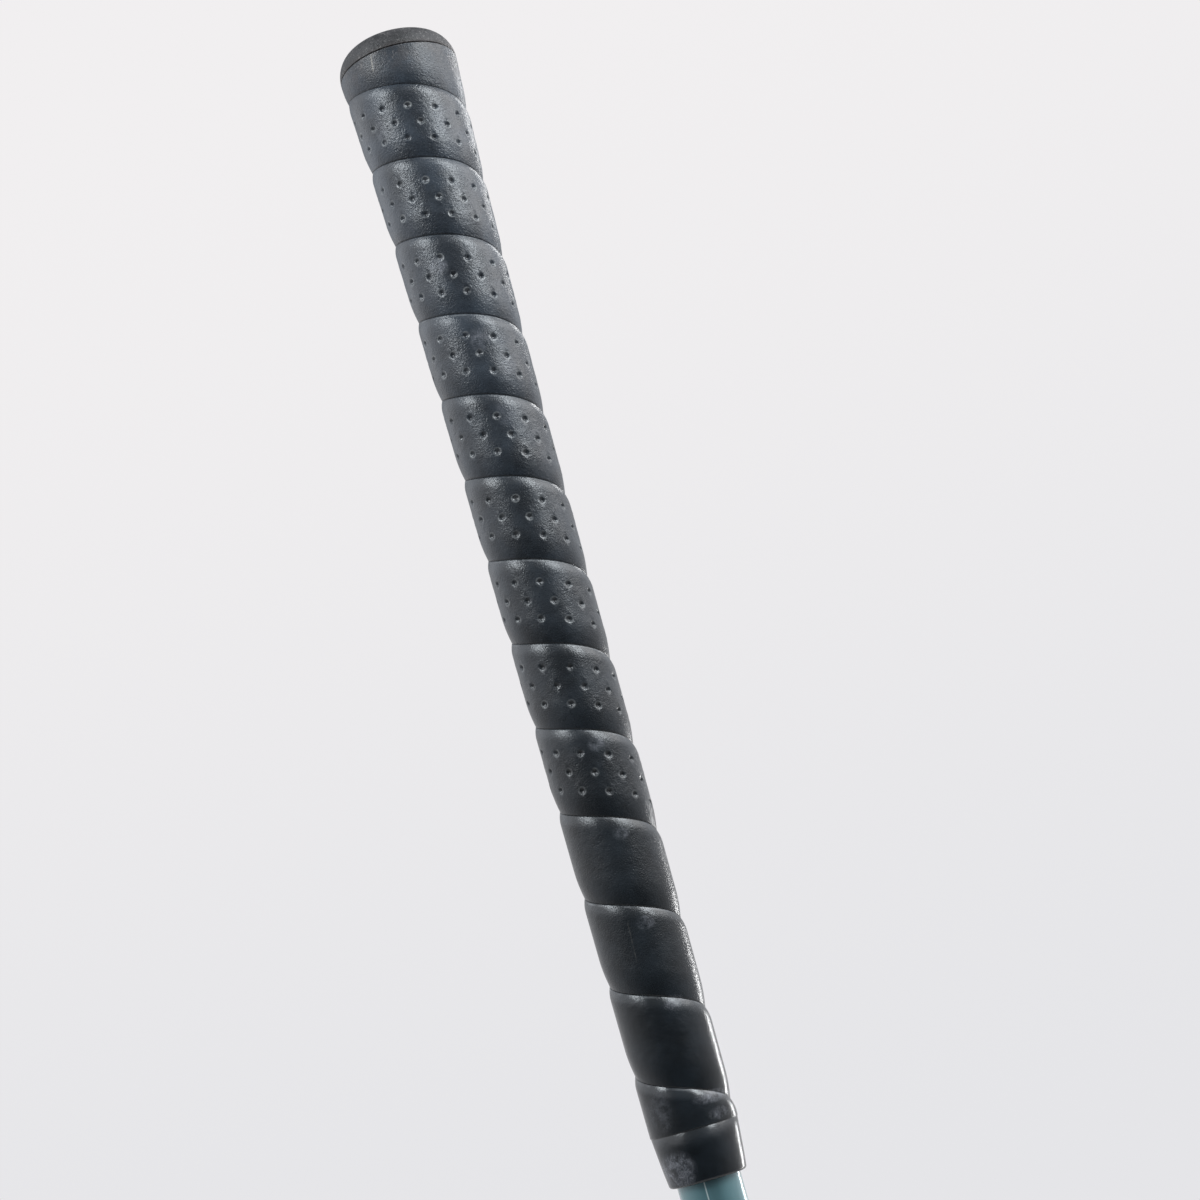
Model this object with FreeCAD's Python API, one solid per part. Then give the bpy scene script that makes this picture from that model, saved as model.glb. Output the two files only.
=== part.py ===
import FreeCAD, Part
import math
import os

from FreeCAD import Placement, Rotation, Vector

# A right-handed golf iron with a graphite shaft and a moulded rubber grip.
# Lengths are in millimetres, angles in degrees.
# The shaft's axis is the Z axis, with +Z towards the butt.
# The origin is the centre of the end cap's flat top.
# The toe points to -Y and the face looks to +X, tilted up the shaft by its loft.

# Whole club
club_length = 940.0             # butt to the ground, along the shaft's axis
lie_angle = 62.0                # between the shaft and the ground
loft_angle = 34.0               # between the face and the vertical
cut_overrun = 5.0               # how far every cutting tool runs past its work
edge_reach = 2.5                # how far an edge to be rounded may lie from its corner

# Grip sleeve
grip_length = 267.0             # end cap's top to the sleeve's mouth
cap_height = 6.0                # end cap's top to the line where the sleeve starts
collar_length = 10.9            # plain collar at the mouth
collar_radius = 9.45
mouth_radius = 8.45
mouth_edge_radius = 0.9
wrap_end_radius = 9.5           # over the bands, where the straight taper ends at the mouth
taper_rise = 2.35               # growth of that radius from the mouth to the end cap
flare_rise = 2.15               # further growth that comes mostly under the end cap
flare_power = 6
mouth_lip_length = 3.0          # bare rubber under the lower end of the tape

# Helical wrap relief
wrap_pitch = 19.5
first_seam_depth = 13.7         # below the top, on the side that the player sees
seam_depth = 0.65
edge_width = 2.8                # rounded upper edge of a band
roll_width = 6.2                # lower part of a band, rolling in towards the next seam
seam_start_depth = 6.5          # the relief fades in between these two depths
seam_full_depth = 14.0
seam_run_out = 4.0              # above the collar, where the relief fades out again
edge_power = 2
roll_power = 2
points_per_turn = 30
rings_per_pitch = 13

# End cap
cap_flat_radius = 9.4
cap_floor = 4.5                 # rubber between the shaft's butt and the outside
cap_skirt_length = 7.0          # ring that goes down inside the sleeve
cap_skirt_radius = 11.0
vent_hole_radius = 1.25
parting_groove = 0.35

# Grip tape
tape_thickness = 0.2
tape_fit = 0.03                 # radial clearance between the tape and the shaft
tape_slit_width = 1.2

# Shaft
shaft_butt_radius = 7.62
shaft_mouth_radius = 6.9        # where the shaft leaves the grip
shaft_tip_radius = 4.7
shaft_wall = 1.35
shaft_tip_parallel = 150.0      # untapered end of the shaft

# Hosel
hosel_height = 70.0             # ground to the hosel's rim, along the shaft's axis
hosel_radius = 6.7
hosel_bore_depth = 32.0
glue_thickness = 0.12
hosel_rim_chamfer = 0.5
hosel_start_height = 46.0       # where the round hosel ends and the neck begins

# Ferrule and its trim ring
ring_length = 1.6
ferrule_length = 21.0
ferrule_shoulder_length = 5.0   # parallel part above the ring
ferrule_top_wall = 0.45
ferrule_belly = 0.35            # how far its taper swells out
ferrule_fit = 0.03              # radial clearance on the shaft

# Tip weight
weight_length = 24.0
weight_fit = 0.05
weight_flange = 1.4

# Blade, in the face's plane: along the sole from the shaft's axis, and up the face
blade_length = 80.0
toe_height = 57.0
outline_corner_shares = [       # shares along the blade, up the toe and of the shorter
    (0.82, 1.00, 0.30), (0.985, 0.87, 0.36), (1.02, 0.42, 0.40),    # edge at the corner
    (0.90, -0.02, 0.44), (0.10, -0.02, 0.42), (-0.03, 0.24, 0.40), (0.03, 0.51, 0.16)]

# Blade, in its section from the face back
topline_thickness = 5.2
waist_thickness = 6.2
waist_height = 27.0             # up the face
muscle_thickness = 12.0
muscle_height = 19.5            # up the face
sole_width = 19.5
leading_edge_offset = 3.0       # leading edge ahead of the shaft's axis
leading_edge_lift = 1.8
trailing_edge_lift = 2.6
leading_edge_radius = 2.0
trailing_edge_radius = 2.5
muscle_radius = 3.0
waist_radius = 4.0
blade_edge_radius = 0.8         # round the face and round the back

# Cavity in the back
rim_width = 5.5
face_thickness = 2.8
cavity_heel_share = 0.25        # of the blade's length
cavity_floor_share = 0.37       # of the toe's height
cavity_corner_radius = 5.0

# Badge in the cavity
badge_margin = 3.0
badge_thickness = 1.0
glue_pad_thickness = 0.25
glue_pad_margin = 0.6

# Score lines
score_pitch = 3.5
first_score_height = 6.5
score_width = 0.9
score_depth = 0.45
score_floor_share = 0.5         # width of a groove's floor
score_heel_share = 0.26         # of the blade's length
score_toe_share = 0.825
score_topline_margin = 5.5

# Neck between hosel and blade
sections_per_neck = 7
points_per_section = 24
neck_end_share = 0.19           # of the blade's length, inside the blade
neck_end_height = 13.5          # up the face
neck_end_depth = 5.6            # behind the face
neck_end_half_height = 8.6
neck_end_half_depth = 3.4
neck_overlap = 3.0              # how far it starts up inside the hosel
neck_inset = 0.05               # and how much slimmer than the hosel it starts
neck_bulge = 1.2                # extra half height halfway along
neck_bend_height = 13.0         # where the shaft's axis would have to turn to the blade
neck_bend_setback = 2.5


def polyline(points):
    """Straight edges through (radius, z) points in the plane of X and Z."""
    return Part.makePolygon([Vector(radius, 0, z) for radius, z in points])


def turned(points):
    """A solid of revolution about Z from a closed outline of (radius, z) points."""
    outline = polyline(points + points[:1])
    return Part.Face(outline).revolve(Vector(0, 0, 0), Vector(0, 0, 1), 360)


def cylinder(radius, low, high):
    """A cylinder about Z between two heights."""
    return Part.makeCylinder(radius, high - low, Vector(0, 0, low))


# Heights on the axis that several pieces share
mouth_z = -grip_length
rim_z = -cap_height
collar_z = mouth_z + collar_length
butt_z = -cap_floor
hosel_rim_z = -club_length + hosel_height
bore_floor_z = hosel_rim_z - hosel_bore_depth
shaft_tip_z = bore_floor_z + weight_flange
tip_taper_z = shaft_tip_z + shaft_tip_parallel
ring_top_z = hosel_rim_z + ring_length
ferrule_top_z = ring_top_z + ferrule_length
tape_end_z = mouth_z + mouth_lip_length
cap_radius = wrap_end_radius + taper_rise + flare_rise
cap_skirt_z = rim_z - cap_skirt_length
tip_bore_radius = shaft_tip_radius - shaft_wall
hosel_bore_radius = shaft_tip_radius + glue_thickness


def shaft_radius(z):
    """Outer radius of the shaft: two straight tapers and a parallel tip."""
    if z > mouth_z:
        share = (z - mouth_z) / (butt_z - mouth_z)
        return shaft_mouth_radius + share * (shaft_butt_radius - shaft_mouth_radius)
    if z > tip_taper_z:
        share = (z - tip_taper_z) / (mouth_z - tip_taper_z)
        return shaft_tip_radius + share * (shaft_mouth_radius - shaft_tip_radius)
    return shaft_tip_radius


def crest_radius(z):
    """Outer radius of the grip over its bands: a straight taper that flares at the butt."""
    share = (z - mouth_z) / (rim_z - mouth_z)
    return wrap_end_radius + taper_rise * share + flare_rise * share ** flare_power


def relief(below, above):
    """Depth of the skin below its crest, between the seam over it and the seam under it."""
    depth = 0
    if below < edge_width:
        depth = seam_depth * (1 - below / edge_width) ** edge_power
    if above < roll_width:
        depth = max(depth, seam_depth * (1 - above / roll_width) ** roll_power)
    return depth


def relief_strength(z):
    """Share of the full relief: none under the end cap, all of it from the first band,
    and none again at the collar."""
    share = min((-z - seam_start_depth) / (seam_full_depth - seam_start_depth),
                (z - collar_z) / seam_run_out)
    share = min(1, max(0, share))
    return share * share * (3 - 2 * share)


def skin_point(turn, z):
    """Point of the grip's skin at a height. The seam is a left-handed helix that sinks by
    one pitch a turn, and turn 0 is the player's side, which is -Y."""
    below = ((-first_seam_depth - z) / wrap_pitch - turn) % 1 * wrap_pitch
    depth = relief(below, wrap_pitch - below) * relief_strength(z)
    angle = 2 * math.pi * turn - math.pi / 2
    radius = crest_radius(z) - depth
    return Vector(radius * math.cos(angle), radius * math.sin(angle), z)


def evenly(low, high, steps):
    """Values from low to high, both included, in even steps."""
    return [low + (high - low) * step / steps for step in range(steps + 1)]


def make_wrapped_core():
    """The grip's solid between the end cap and the collar. Its skin is one surface: closed
    splines round the grip at many heights, and splines down the grip through those
    splines' control points."""
    turns = evenly(0, 1, points_per_turn)
    heights = evenly(rim_z, collar_z, round((rim_z - collar_z) / wrap_pitch * rings_per_pitch))
    rings = []
    for z in heights:
        ring = Part.BSplineCurve()
        ring.interpolate(Points=[skin_point(turn, z) for turn in turns[:-1]],
                         PeriodicFlag=True, Parameters=turns)
        rings.append(ring)
    down = []
    for poles in zip(*[ring.getPoles() for ring in rings]):
        line = Part.BSplineCurve()
        line.interpolate(Points=list(poles), Parameters=[-z for z in heights])
        down.append(line)
    skin = Part.BSplineSurface()
    skin.buildFromPolesMultsKnots(
        [list(poles) for poles in zip(*[line.getPoles() for line in down])],
        down[0].getMultiplicities(), rings[0].getMultiplicities(),
        down[0].getKnots(), rings[0].getKnots(), False, True, 3, 3)
    faces = [skin.toShape()]
    for ring in (rings[0], rings[-1]):
        end = Part.Face(Part.Wire(ring.toShape()))
        end.validate()
        faces.append(end)
    shell = Part.makeCompound(faces)
    shell.sewShape()
    return Part.Solid(shell)


def make_grip_sleeve():
    """Rubber sleeve: wrapped body, plain collar, and a bore that follows the taped shaft."""
    collar = turned([
        (0, collar_z), (collar_radius, collar_z), (mouth_radius, mouth_z), (0, mouth_z)])
    mouth_edge = [edge for edge in collar.Edges
                  if edge.BoundBox.ZMax < mouth_z + collar_length / 2
                  and edge.BoundBox.XMax > mouth_radius - mouth_edge_radius]
    collar = collar.makeFillet(mouth_edge_radius, mouth_edge)
    body = make_wrapped_core().fuse(collar)
    bore = turned([
        (0, rim_z + cut_overrun),
        (cap_skirt_radius, rim_z + cut_overrun),
        (cap_skirt_radius, cap_skirt_z),
        (shaft_radius(cap_skirt_z) + tape_thickness, cap_skirt_z),
        (shaft_radius(tape_end_z) + tape_thickness, tape_end_z),
        (shaft_radius(tape_end_z), tape_end_z),
        (shaft_radius(mouth_z), mouth_z),
        (shaft_radius(mouth_z), mouth_z - cut_overrun),
        (0, mouth_z - cut_overrun)])
    return body.cut(bore)


def make_grip_cap():
    """End cap: a lid with a rounded shoulder and a flat top, a skirt inside the sleeve
    and a vent hole. A fine groove parts it from the sleeve."""
    shoulder = Part.BezierCurve()
    shoulder.setPoles([
        Vector(cap_radius, 0, rim_z + parting_groove),
        Vector(cap_radius, 0, 0),
        Vector(cap_flat_radius, 0, 0)])
    shoulder.setWeight(2, math.sqrt(0.5))
    inside = [
        (cap_flat_radius, 0), (vent_hole_radius, 0), (vent_hole_radius, butt_z),
        (shaft_radius(butt_z) + tape_thickness, butt_z),
        (shaft_radius(cap_skirt_z) + tape_thickness, cap_skirt_z),
        (cap_skirt_radius, cap_skirt_z), (cap_skirt_radius, rim_z),
        (cap_radius - parting_groove, rim_z), (cap_radius, rim_z + parting_groove)]
    outline = Part.Wire([shoulder.toShape(), polyline(inside)])
    return Part.Face(outline).revolve(Vector(0, 0, 0), Vector(0, 0, 1), 360)


def make_grip_tape():
    """Double-sided tape round the shaft, with the slit where its long edges meet."""
    tape = turned([
        (shaft_radius(butt_z) + tape_fit, butt_z),
        (shaft_radius(butt_z) + tape_thickness, butt_z),
        (shaft_radius(tape_end_z) + tape_thickness, tape_end_z),
        (shaft_radius(tape_end_z) + tape_fit, tape_end_z)])
    slit = Part.makeBox(
        tape_slit_width, cap_radius, grip_length,
        Vector(-tape_slit_width / 2, 0, mouth_z))
    return tape.cut(slit)


def make_shaft():
    """Hollow shaft with two tapers and a parallel tip."""
    heights = [butt_z, mouth_z, tip_taper_z, shaft_tip_z]
    outside = [(shaft_radius(z), z) for z in heights]
    inside = [(shaft_radius(z) - shaft_wall, z) for z in reversed(heights)]
    return turned(outside + inside)


def make_ferrule():
    """Collar that tapers from the hosel's width down to the shaft."""
    bore = shaft_tip_radius + ferrule_fit
    shoulder_z = ring_top_z + ferrule_shoulder_length
    top_radius = shaft_radius(ferrule_top_z) + ferrule_top_wall
    low = Vector(hosel_radius, 0, shoulder_z)
    high = Vector(top_radius, 0, ferrule_top_z)
    middle = (low + high) / 2 + Vector(ferrule_belly, 0, 0)
    outline = Part.Wire([
        Part.Arc(low, middle, high).toShape(),
        polyline([(top_radius, ferrule_top_z), (bore, ferrule_top_z), (bore, ring_top_z),
                  (hosel_radius, ring_top_z), (hosel_radius, shoulder_z)])])
    return Part.Face(outline).revolve(Vector(0, 0, 0), Vector(0, 0, 1), 360)


def make_ferrule_ring():
    """Trim ring between the hosel and the ferrule."""
    ring = cylinder(hosel_radius, hosel_rim_z, ring_top_z)
    return ring.cut(cylinder(shaft_tip_radius + ferrule_fit, hosel_rim_z, ring_top_z))


def make_hosel_glue():
    """Epoxy that fills the gap between the shaft's tip and the hosel's bore."""
    glue = cylinder(hosel_bore_radius, bore_floor_z, hosel_rim_z)
    return glue.cut(cylinder(shaft_tip_radius, bore_floor_z, hosel_rim_z))


def make_tip_weight():
    """Brass pin in the shaft's tip, with a flange that stands on the bore's floor."""
    flange = cylinder(shaft_tip_radius, bore_floor_z, shaft_tip_z)
    return flange.fuse(cylinder(
        tip_bore_radius - weight_fit, bore_floor_z, shaft_tip_z + weight_length))


# The head's own axes: X to the toe, Y to the target and Z up, with the ground at zero
# under the shaft's axis. The face's own axes: X to the toe, Y up the face and Z back
# through the blade, from the leading edge.
lie = math.radians(lie_angle)
loft = math.radians(loft_angle)
head_place = Placement(
    Vector(0, 0, -club_length),
    Rotation(Vector(0, -math.sin(lie), -math.cos(lie)), Vector(1, 0, 0),
             Vector(0, -math.cos(lie), math.sin(lie)), "XYZ"))
face_place = Placement(
    Vector(0, leading_edge_offset, 0),
    Rotation(Vector(1, 0, 0), Vector(0, -math.sin(loft), math.cos(loft)),
             Vector(0, -math.cos(loft), -math.sin(loft)), "XYZ"))
blade_reach = blade_length + toe_height


def on_face(along, height, depth=0):
    """Point in the head's axes from its place in the face's axes."""
    return face_place.multVec(Vector(along, height, depth))


def blade_outline():
    """The blade's outline in the face's own plane: topline, toe, sole and heel. A corner
    is rounded over a share of the shorter of its two edges."""
    points = [Vector(along * blade_length, up * toe_height, 0)
              for along, up, cut in outline_corner_shares]
    edges = []
    for index, point in enumerate(points):
        back = points[index - 1] - point
        on = points[(index + 1) % len(points)] - point
        cut = outline_corner_shares[index][2] * min(back.Length, on.Length)
        back.normalize()
        on.normalize()
        bisector = back + on
        half_angle = back.getAngle(on) / 2
        bisector.normalize()
        radius = cut * math.tan(half_angle)
        middle = point + bisector * (cut / math.cos(half_angle) - radius)
        edges.append((point + back * cut, middle, point + on * cut))
    outline = []
    for index, (start, middle, end) in enumerate(edges):
        outline.append(Part.Arc(start, middle, end).toShape())
        outline.append(Part.makeLine(end, edges[(index + 1) % len(edges)][0]))
    return Part.Wire(outline)


def slab(wire, low, high):
    """A flat piece of the face's plane, from one depth behind the face to another."""
    wire = wire.copy()
    wire.translate(Vector(0, 0, low))
    piece = Part.Face(wire).extrude(Vector(0, 0, high - low))
    piece.Placement = face_place
    return piece


def make_blade():
    """The blade before its cavity: what the outline of the face and the section from the
    face back have in common."""
    outline = slab(blade_outline(), 0, blade_reach)
    trailing = Vector(0, leading_edge_offset - sole_width, trailing_edge_lift)
    leading = on_face(0, leading_edge_lift / math.cos(loft))
    lowest = Vector(0, leading_edge_offset - sole_width / 2, 0)
    section = Part.Wire([
        Part.Arc(trailing, lowest, leading).toShape(),
        Part.makePolygon([
            leading, on_face(0, blade_reach), on_face(0, blade_reach, topline_thickness),
            on_face(0, waist_height, waist_thickness),
            on_face(0, muscle_height, muscle_thickness), trailing])])
    section.translate(Vector(-blade_reach, 0, 0))
    bar = Part.Face(section).extrude(Vector(2 * blade_reach, 0, 0))
    for place, radius in (
            (leading, leading_edge_radius), (trailing, trailing_edge_radius),
            (on_face(0, muscle_height, muscle_thickness), muscle_radius),
            (on_face(0, waist_height, waist_thickness), waist_radius)):
        edges = [edge for edge in bar.Edges
                 if edge.BoundBox.XLength > blade_reach
                 and edge.CenterOfMass.distanceToPoint(place) < edge_reach]
        bar = bar.makeFillet(radius, edges)
    blade = outline.common(bar)
    return blade.makeFillet(blade_edge_radius, blade.Edges)


def make_neck():
    """The neck: a loft through ellipses that turn from the round hosel into the blade."""
    start = Vector(-math.cos(lie), 0, math.sin(lie)) * (hosel_start_height + neck_overlap)
    start_radius = hosel_radius - neck_inset
    bend = Vector(-neck_bend_height / math.tan(lie), -neck_bend_setback, neck_bend_height)
    end = on_face(neck_end_share * blade_length, neck_end_height, neck_end_depth)
    face_normal = Vector(0, math.cos(loft), math.sin(loft))
    sections = []
    for share in evenly(0, 1, sections_per_neck - 1):
        centre = start * (1 - share) ** 2 + bend * 2 * share * (1 - share) + end * share ** 2
        course = (bend - start) * (1 - share) + (end - bend) * share
        if share == 0:
            course = start * -1
        across = Vector(0, 1, 0) * (1 - share) + face_normal * share
        tall = course.cross(across)
        half_height = start_radius + (neck_end_half_height - start_radius) * share
        half_height += neck_bulge * math.sin(math.pi * share)
        half_depth = start_radius + (neck_end_half_depth - start_radius) * share
        tall.normalize()
        deep = tall.cross(course)
        deep.normalize()
        poles = [tall * half_height * math.cos(angle) + deep * half_depth * math.sin(angle)
                 for angle in evenly(0, 2 * math.pi, points_per_section)[:-1]]
        curve = Part.BSplineCurve()
        curve.interpolate(Points=[centre + pole for pole in poles], PeriodicFlag=True)
        sections.append(Part.Wire(curve.toShape()))
    return Part.makeLoft(sections, True)


def cavity_outline(inset):
    """Outline of the cavity in the face's own plane, drawn in by a margin: the blade's
    outline less its rim, closed by the muscle below and by the heel. Drawn in by the
    radius of its corners and out again, it has them round."""
    rim = Part.Face(blade_outline()).makeOffset2D(-rim_width)
    box = Part.makePlane(
        blade_reach, blade_reach,
        Vector(cavity_heel_share * blade_length, cavity_floor_share * toe_height, 0))
    core = rim.common(box).Faces[0].makeOffset2D(-cavity_corner_radius)
    return core.makeOffset2D(cavity_corner_radius - inset).OuterWire


def topline_start(height):
    """Where the blade's topline passes a height up the face, from the shaft's axis."""
    toe, heel = outline_corner_shares[0], outline_corner_shares[-1]
    share = (height / toe_height - heel[1]) / (toe[1] - heel[1])
    return (heel[0] + share * (toe[0] - heel[0])) * blade_length


def make_score_lines():
    """The grooves to be cut in the face: shallow channels with sloping sides."""
    grooves = []
    toe = score_toe_share * blade_length
    scored = toe_height - score_topline_margin - first_score_height
    for line in range(math.floor(scored / score_pitch) + 1):
        height = first_score_height + score_pitch * line
        heel = max(score_heel_share * blade_length,
                   topline_start(height + score_topline_margin))
        profile = Part.makePolygon([
            on_face(heel, height - score_width / 2, 0),
            on_face(heel, height - score_width * score_floor_share / 2, score_depth),
            on_face(heel, height + score_width * score_floor_share / 2, score_depth),
            on_face(heel, height + score_width / 2, 0),
            on_face(heel, height + score_width / 2, -score_depth),
            on_face(heel, height - score_width / 2, -score_depth),
            on_face(heel, height - score_width / 2, 0)])
        grooves.append(Part.Face(profile).extrude(Vector(toe - heel, 0, 0)))
    return Part.makeCompound(grooves)


def make_head():
    """Head: blade, neck and hosel in one casting, with the cavity in the back, the score
    lines in the face and the bore for the shaft."""
    head = make_blade().fuse(make_neck())
    head = head.cut(slab(cavity_outline(0), face_thickness, blade_reach))
    head = head.cut(make_score_lines())
    head.Placement = head_place
    hosel = cylinder(hosel_radius, -club_length + hosel_start_height, hosel_rim_z)
    rim = [edge for edge in hosel.Edges if edge.BoundBox.ZMin > hosel_rim_z - cut_overrun]
    head = head.fuse(hosel.makeChamfer(hosel_rim_chamfer, rim))
    return head.cut(cylinder(hosel_bore_radius, bore_floor_z, hosel_rim_z + cut_overrun))


def make_cavity_badge():
    """Thin bare plate in the cavity."""
    low = face_thickness + glue_pad_thickness
    badge = slab(cavity_outline(badge_margin), low, low + badge_thickness)
    badge.Placement = head_place.multiply(badge.Placement)
    return badge


def make_badge_adhesive():
    """Adhesive pad between the badge and the back of the face."""
    pad = slab(cavity_outline(badge_margin + glue_pad_margin),
               face_thickness, face_thickness + glue_pad_thickness)
    pad.Placement = head_place.multiply(pad.Placement)
    return pad


pieces = {
    "grip_sleeve": make_grip_sleeve(),
    "grip_cap": make_grip_cap(),
    "grip_tape": make_grip_tape(),
    "shaft": make_shaft(),
    "ferrule": make_ferrule(),
    "ferrule_ring": make_ferrule_ring(),
    "hosel_epoxy": make_hosel_glue(),
    "tip_weight": make_tip_weight(),
    "head": make_head(),
    "cavity_badge": make_cavity_badge(),
    "badge_adhesive": make_badge_adhesive()}

os.makedirs("parts", exist_ok=True)
for node, shape in pieces.items():
    shape.exportStep(os.path.join("parts", node + ".step"))
    print(node, len(shape.Solids), shape.isValid(), round(shape.Volume))
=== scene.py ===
# %% [markdown]
# # A golf iron, seen at its grip
#
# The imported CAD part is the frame: eleven pieces at their real size and place. Ten of them
# keep their CAD mesh and get a procedural finish here. The eleventh, the moulded rubber
# sleeve, fills most of the picture, so it is drawn again with its spiral wrap and dimples.
# Lengths are in metres; the shaft's axis is Z, the origin is the middle of the end cap's
# flat top, and the player's side of the grip is -Y.

# %% Imports and the frame
import math

import bpy
import numpy as np
from mathutils import Matrix, Vector


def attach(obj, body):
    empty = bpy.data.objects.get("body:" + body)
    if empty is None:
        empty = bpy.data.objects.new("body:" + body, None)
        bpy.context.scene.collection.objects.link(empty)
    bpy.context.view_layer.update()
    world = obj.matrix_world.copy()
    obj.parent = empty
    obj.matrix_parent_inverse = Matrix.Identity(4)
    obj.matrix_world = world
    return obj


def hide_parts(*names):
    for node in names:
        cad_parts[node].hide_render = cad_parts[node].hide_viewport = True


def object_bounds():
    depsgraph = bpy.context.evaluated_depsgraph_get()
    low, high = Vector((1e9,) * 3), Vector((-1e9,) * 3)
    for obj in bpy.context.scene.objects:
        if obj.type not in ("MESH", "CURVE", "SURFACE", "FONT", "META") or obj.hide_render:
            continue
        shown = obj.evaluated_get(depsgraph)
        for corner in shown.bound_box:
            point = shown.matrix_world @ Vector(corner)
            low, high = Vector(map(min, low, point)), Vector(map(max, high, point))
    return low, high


MM = 0.001
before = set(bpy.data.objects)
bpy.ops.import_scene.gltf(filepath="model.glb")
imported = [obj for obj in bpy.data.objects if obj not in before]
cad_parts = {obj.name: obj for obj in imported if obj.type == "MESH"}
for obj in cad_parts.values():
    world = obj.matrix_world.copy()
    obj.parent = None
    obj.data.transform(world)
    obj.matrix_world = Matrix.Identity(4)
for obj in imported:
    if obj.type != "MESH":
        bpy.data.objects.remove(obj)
loaded_low, loaded_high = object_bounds()
print("CAD nodes:", len(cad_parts))

# %% [markdown]
# ## The sleeve's form
#
# The real sleeve is one rubber moulding. It widens from its mouth up, flares under the end
# cap, and imitates a strip wound round the shaft: a left-handed helix whose bands have a
# rounded upper edge and roll in under the next band. A displaced cylinder would blur those
# edges, so the radius is a formula of the height and of the distance below the seam. The
# sizes are the CAD part's own, in millimetres. Only the low start of the wrap and its
# dimples are added here, as they are on the real grip.

# %% Sizes of the sleeve
RIM_Z = -6.0            # under the end cap's lid
MOUTH_Z = -267.0
COLLAR_Z = MOUTH_Z + 10.9
PITCH = 19.5            # of the wrap
FIRST_SEAM = 13.7       # depth of an even helix's first seam on the player's side
START_DROP = 1.6        # how much lower the wrap really starts
DROP_TURNS = (-0.3, 1.5)        # over which that drop ends
SEAM_DEPTH = 0.65
EDGE = 2.8              # rounded upper edge of a band
ROLL = 6.2              # lower part of a band that rolls in
RELIEF_STARTS = (6.5, 14.0)     # depths between which the relief grows in
RELIEF_ENDS = 2.5       # height above the collar from which it fades out
WRAP_END_R = 9.5        # over the bands, where the straight taper ends at the mouth
TAPER = 2.35            # what the taper adds on the way up to the rim
FLARE = 2.15            # what the flare adds there


def crest_radius(z):
    """Radius over the bands: a straight taper that flares under the end cap.

    With x = (z - mouth) / (rim - mouth), R = WRAP_END_R + TAPER x + FLARE x^6.
    """
    x = (z - MOUTH_Z) / (RIM_Z - MOUTH_Z)
    return WRAP_END_R + TAPER * x + FLARE * np.abs(x) ** 6


def smooth_step(low, high, x):
    """3 t^2 - 2 t^3 with t = (x - low) / (high - low) held between 0 and 1."""
    t = np.clip((x - low) / (high - low), 0, 1)
    return t * t * (3 - 2 * t)


def seam_height(turn):
    """Height of the seam: an even helix, lower by START_DROP at its start.

    z = -FIRST_SEAM - PITCH turn - START_DROP (1 - S), with S the smooth step over
    DROP_TURNS.
    """
    return -FIRST_SEAM - PITCH * turn - START_DROP * (1 - smooth_step(*DROP_TURNS, turn))


def relief(below, z):
    """Depth of the skin under its crest, at a distance below the seam.

    It falls as (1 - below / EDGE)^2 from the seam down, and rises again as
    (1 - above / ROLL)^2 towards the next seam. Smooth steps fade it in under the end cap
    and out above the collar.
    """
    edge = np.clip(1 - below / EDGE, 0, 1) ** 2
    roll = np.clip(1 - (PITCH - below) / ROLL, 0, 1) ** 2
    fade = smooth_step(*RELIEF_STARTS, -z) * smooth_step(0, RELIEF_ENDS, z - COLLAR_Z)
    return SEAM_DEPTH * np.maximum(edge, roll) * fade


print("sleeve: radius at rim and collar", crest_radius(RIM_Z), round(crest_radius(COLLAR_Z), 2))
print("seam at turns 0, 1 and 2:", np.round(seam_height(np.arange(3)), 2))

# %% [markdown]
# ## Where the dimples are
#
# Three rows of small pits follow the wrap through nine of its bands. Each is a pressed pit
# with a thin lip, which shows on the outline too, so it is cut into the mesh and isn't only
# bump. Their count along the wrap, N, grows with the length of the helix,
# dN = sqrt((2 pi R)^2 + PITCH^2) / spacing. The angles below are those of the dimple nearest
# the player's side at each turn, and they shift N by less than half a dimple.

# %% Count of dimples along the wrap
DIMPLE_ROWS = (5.4, 9.65, 13.8)     # below the seam
DIMPLE_START = -0.3     # turns below the first seam, on the player's side
DIMPLE_END = 8.55
DIMPLE_SPACING = 6.25   # along the wrap
NEAREST_ANGLE = np.radians((-0.6, -3.7, -11.8, -7.6, 2.0, -2.8, -2.0, 6.2, -11.0, -6.0))

turn_axis = np.linspace(-2, 14, 3201)   # from above the sleeve to below it
strip_z = -FIRST_SEAM - PITCH * turn_axis - DIMPLE_ROWS[0]
rate = np.hypot(2 * np.pi * crest_radius(strip_z), PITCH) / DIMPLE_SPACING
count_axis = np.concatenate(([0], np.cumsum((rate[1:] + rate[:-1]) / 2 * np.diff(turn_axis))))
count_axis -= np.interp(0, turn_axis, count_axis)
bands = np.arange(len(NEAREST_ANGLE))
phase = -NEAREST_ANGLE / (2 * np.pi) * np.interp(bands, turn_axis, rate)
drift = np.interp(bands, turn_axis, count_axis) - phase
count_axis = count_axis + np.interp(turn_axis, bands, np.round(drift) - drift)
dimpled = np.diff(np.interp((DIMPLE_START, DIMPLE_END), turn_axis, count_axis))[0]
print("dimples:", round(len(DIMPLE_ROWS) * dimpled), "in", len(DIMPLE_ROWS), "rows")

# %% One dimple
DIMPLE_R = 0.74
DIMPLE_DEPTH = 0.45
FLOOR_SHARE = 0.35      # of a pit's radius, over which it is level
LIP_R = 0.92            # ridge round a dimple
LIP_HALF_WIDTH = 0.3
LIP_HEIGHT = 0.05
SLOPE_R = 11.5          # radius at which the wrap's slope is taken
ROW_SLOPE = math.atan(PITCH / (2 * math.pi * SLOPE_R))
ROW_DROP = 0.6          # how much lower the rows lie in the first bands
ROW_DROP_TURNS = (1.0, 3.5)     # over which that ends


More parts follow.
